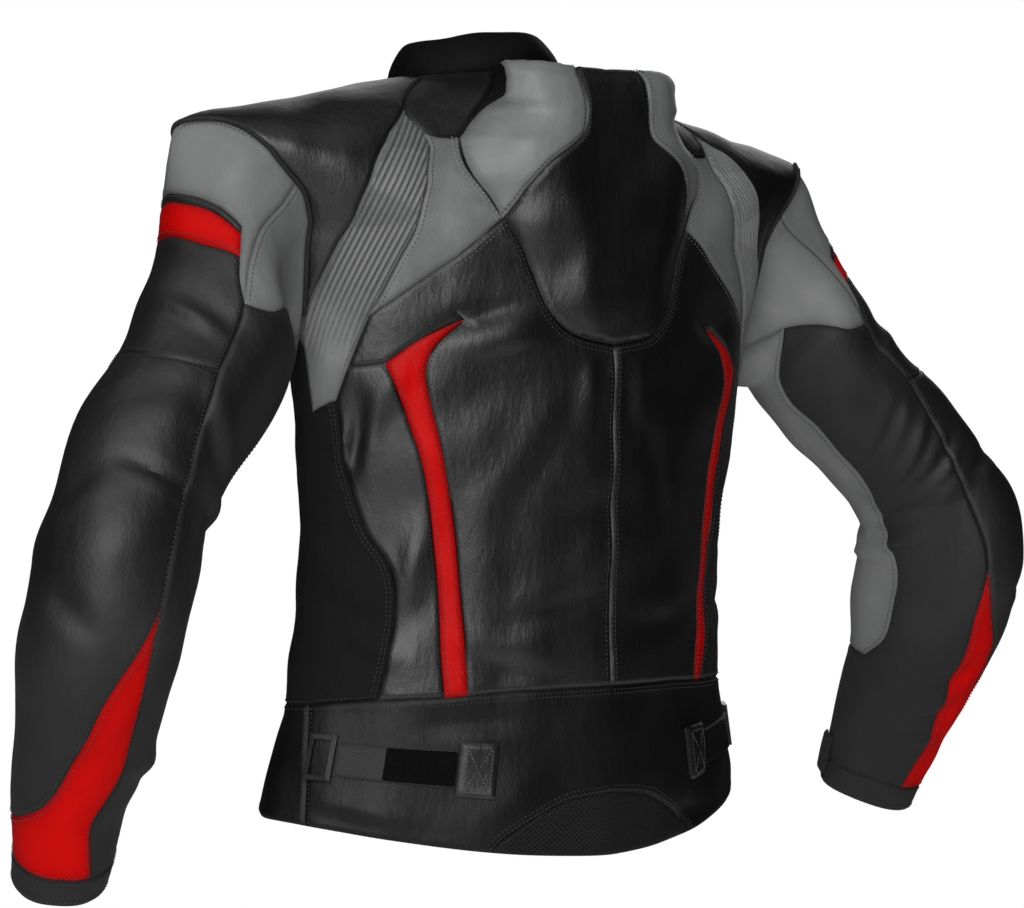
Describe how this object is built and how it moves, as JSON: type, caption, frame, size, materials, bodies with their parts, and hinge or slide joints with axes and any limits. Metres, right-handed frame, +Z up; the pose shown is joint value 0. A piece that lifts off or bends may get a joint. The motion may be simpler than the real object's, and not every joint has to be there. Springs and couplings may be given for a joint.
{
  "type": "leather motorcycle jacket",
  "caption": "Fitted leather riding jacket held open as if worn: curved sleeves, back hump, ribbed shoulder insets, stretch sides, side adjusters and a closed front zip.",
  "frame": {"origin": "middle of the neck opening, at the height of the collar seam at the back", "axes": "+X to the wearer's left, +Y to the wearer's back, +Z up"},
  "size_m": [0.994, 0.2913, 0.6851],
  "materials": {
    "leather_black": "softly shining smooth leather",
    "leather_grey": "softly shining smooth leather",
    "leather_red": "softly shining smooth leather",
    "stretch_fabric": "matte stretch knit",
    "elastic_mesh": "matte open mesh",
    "webbing": "matte woven tape",
    "buckle_plastic": "satin",
    "zip_metal": "satin dark plating"
  },
  "bodies": {
    "jacket": {"accordion_left": "leather_grey", "accordion_right": "leather_grey", "adjuster_box_left": "leather_black", "adjuster_box_right": "leather_black", "adjuster_ring_left": "buckle_plastic", "adjuster_ring_right": "buckle_plastic", "adjuster_strap_left": "webbing", "adjuster_strap_right": "webbing", "arm_band_black_left": "leather_black", "arm_band_black_right": "leather_black", "arm_band_red_left": "leather_red", "arm_band_red_right": "leather_red", "back_centre_left": "leather_black", "back_centre_right": "leather_black", "back_side_left": "leather_black", "back_side_right": "leather_black", "collar": "leather_black", "cuff_band_left": "leather_black", "cuff_band_right": "leather_black", "cuff_tab_left": "leather_black", "cuff_tab_right": "leather_black", "elbow_left": "leather_black", "elbow_right": "leather_black", "forearm_wedge_left": "leather_red", "forearm_wedge_right": "leather_red", "front_left": "leather_black", "front_right": "leather_black", "hem_mesh": "elastic_mesh", "hump_flank_left": "leather_grey", "hump_flank_right": "leather_grey", "hump_shield": "leather_black", "inner_arm_left": "leather_grey", "inner_arm_right": "leather_grey", "neck_panel_left": "leather_black", "neck_panel_right": "leather_black", "shoulder_left": "leather_black", "shoulder_right": "leather_black", "side_stretch_left": "stretch_fabric", "side_stretch_right": "stretch_fabric", "sleeve_cap_left": "leather_grey", "sleeve_cap_right": "leather_grey", "sleeve_gusset_left": "leather_grey", "sleeve_gusset_right": "leather_grey", "stripe_left": "leather_red", "stripe_right": "leather_red", "under_arm_left": "leather_black", "under_arm_right": "leather_black", "upper_arm_left": "leather_black", "upper_arm_right": "leather_black", "waist_back": "leather_black", "waist_front_left": "leather_black", "waist_front_right": "leather_black", "yoke_left": "leather_grey", "yoke_right": "leather_grey", "zip_slider": "zip_metal", "zip_tape_left": "webbing", "zip_tape_right": "webbing"},
    "zip_pull": {"zip_pull_tab": "zip_metal"}
  },
  "joints": [
    {"name": "zip_pull_hinge", "type": "hinge", "parent": "jacket", "child": "zip_pull", "pos_m": [0, -0.09688, -0.06767], "axis": [-1, 0, 0], "range_deg": [0, 150]}
  ]
}
